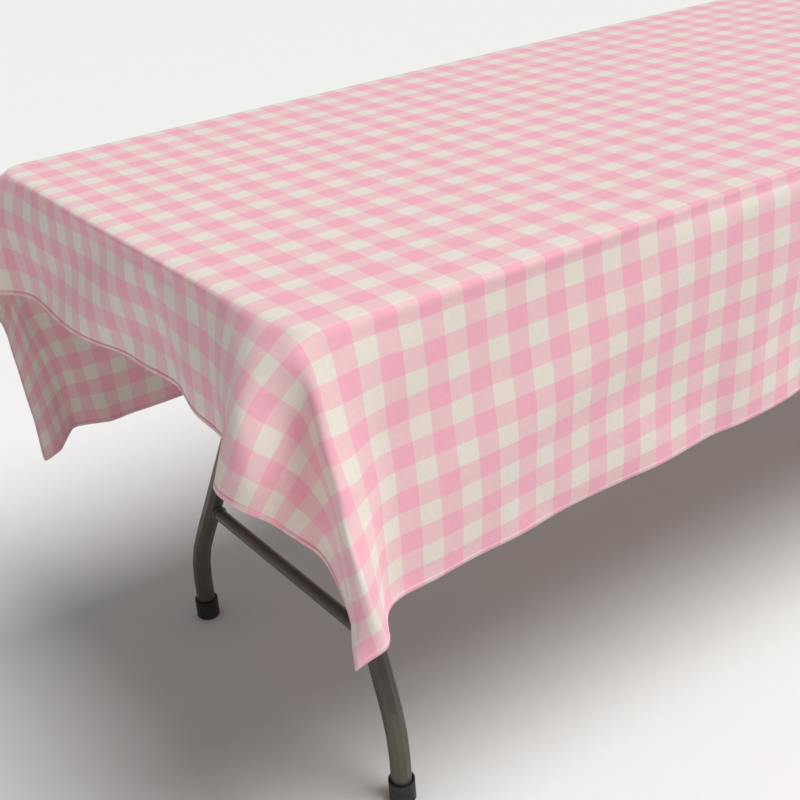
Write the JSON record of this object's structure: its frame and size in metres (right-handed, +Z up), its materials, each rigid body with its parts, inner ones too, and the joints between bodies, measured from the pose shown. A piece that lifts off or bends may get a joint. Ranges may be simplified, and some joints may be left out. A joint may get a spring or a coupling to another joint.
{
  "type": "tablecloth on a folding table",
  "caption": "Rectangular gingham tablecloth draped over a folding banquet table with bent tube leg frames, folding braces and a moulded top.",
  "frame": {"origin": "on the floor under the middle of the table", "axes": "+X along the table's length, +Y from the seen long side to the far one, +Z up"},
  "size_m": [1.9398, 0.9546, 0.7378],
  "materials": {
    "moulded_plastic": "blow-moulded white polyethylene with a fine textured grain",
    "steel_paint": "hammered brown-grey powder coat on steel tube",
    "black_plastic": "moulded black plastic",
    "zinc_steel": "bright zinc plated steel",
    "gingham_cloth": "plain-woven polyester gingham in pink and off-white checks",
    "cloth_hem": "narrow double-turned hem in the same cloth, lockstitched"
  },
  "bodies": {
    "table": {"tabletop": "moulded_plastic", "rail_front": "steel_paint", "rail_plug_front_left": "black_plastic", "rail_plug_front_right": "black_plastic", "rail_screw_front_1": "zinc_steel", "rail_screw_front_2": "zinc_steel", "rail_screw_front_3": "zinc_steel", "rail_screw_front_4": "zinc_steel", "rail_back": "steel_paint", "rail_plug_back_left": "black_plastic", "rail_plug_back_right": "black_plastic", "rail_screw_back_1": "zinc_steel", "rail_screw_back_2": "zinc_steel", "rail_screw_back_3": "zinc_steel", "rail_screw_back_4": "zinc_steel", "brace_bracket_left": "zinc_steel", "brace_pin_left": "zinc_steel", "brace_bracket_right": "zinc_steel", "brace_pin_right": "zinc_steel"},
    "leg_frame_left": {"leg_front_left": "steel_paint", "foot_cap_front_left": "black_plastic", "brace_collar_front_left": "zinc_steel", "leg_back_left": "steel_paint", "foot_cap_back_left": "black_plastic", "brace_collar_back_left": "zinc_steel", "crossbar_low_left": "steel_paint", "crossbar_high_left": "steel_paint", "pivot_tube_left": "steel_paint"},
    "brace_lower_left": {"brace_lower_link_left": "steel_paint", "brace_knee_rivet_left": "zinc_steel"},
    "brace_upper_left": {"brace_upper_link_left": "steel_paint"},
    "leg_frame_right": {"leg_front_right": "steel_paint", "foot_cap_front_right": "black_plastic", "brace_collar_front_right": "zinc_steel", "leg_back_right": "steel_paint", "foot_cap_back_right": "black_plastic", "brace_collar_back_right": "zinc_steel", "crossbar_low_right": "steel_paint", "crossbar_high_right": "steel_paint", "pivot_tube_right": "steel_paint"},
    "brace_lower_right": {"brace_lower_link_right": "steel_paint", "brace_knee_rivet_right": "zinc_steel"},
    "brace_upper_right": {"brace_upper_link_right": "steel_paint"},
    "tablecloth": {"cloth_top": "gingham_cloth", "cloth_drop_front": "gingham_cloth", "hem_front": "cloth_hem", "cloth_drop_back": "gingham_cloth", "hem_back": "cloth_hem", "cloth_drop_left": "gingham_cloth", "hem_left": "cloth_hem", "cloth_drop_right": "gingham_cloth", "hem_right": "cloth_hem", "cloth_corner_front_left": "gingham_cloth", "cloth_corner_front_right": "gingham_cloth", "cloth_corner_back_left": "gingham_cloth", "cloth_corner_back_right": "gingham_cloth"}
  },
  "joints": [
    {"name": "leg_fold_left", "type": "hinge", "parent": "table", "child": "leg_frame_left", "pos_m": [-0.7425, 0, 0.6957], "axis": [0, -1, 0], "range_deg": [0, 90]},
    {"name": "brace_lower_turn_left", "type": "hinge", "parent": "leg_frame_left", "child": "brace_lower_left", "pos_m": [-0.74914, 0, 0.345], "axis": [0, -1, 0], "range_deg": [0, 36.73]},
    {"name": "brace_upper_turn_left", "type": "hinge", "parent": "table", "child": "brace_upper_left", "pos_m": [-0.4925, 0, 0.68906], "axis": [0, -1, 0], "range_deg": [-53.29, 0]},
    {"name": "leg_fold_right", "type": "hinge", "parent": "table", "child": "leg_frame_right", "pos_m": [0.7425, 0, 0.6957], "axis": [0, 1, 0], "range_deg": [0, 90]},
    {"name": "brace_lower_turn_right", "type": "hinge", "parent": "leg_frame_right", "child": "brace_lower_right", "pos_m": [0.74914, 0, 0.345], "axis": [0, 1, 0], "range_deg": [0, 36.73]},
    {"name": "brace_upper_turn_right", "type": "hinge", "parent": "table", "child": "brace_upper_right", "pos_m": [0.4925, 0, 0.68906], "axis": [0, 1, 0], "range_deg": [-53.29, 0]},
    {"name": "cloth_lift", "type": "slide", "parent": "table", "child": "tablecloth", "axis": [0, 0, 1], "range_m": [0, 0.45]}
  ],
  "couplings": [
    {"joint": "brace_lower_turn_left", "follows": "leg_fold_left", "ratio": 0.408},
    {"joint": "brace_upper_turn_left", "follows": "leg_fold_left", "ratio": -0.592},
    {"joint": "brace_lower_turn_right", "follows": "leg_fold_right", "ratio": 0.408},
    {"joint": "brace_upper_turn_right", "follows": "leg_fold_right", "ratio": -0.592}
  ]
}
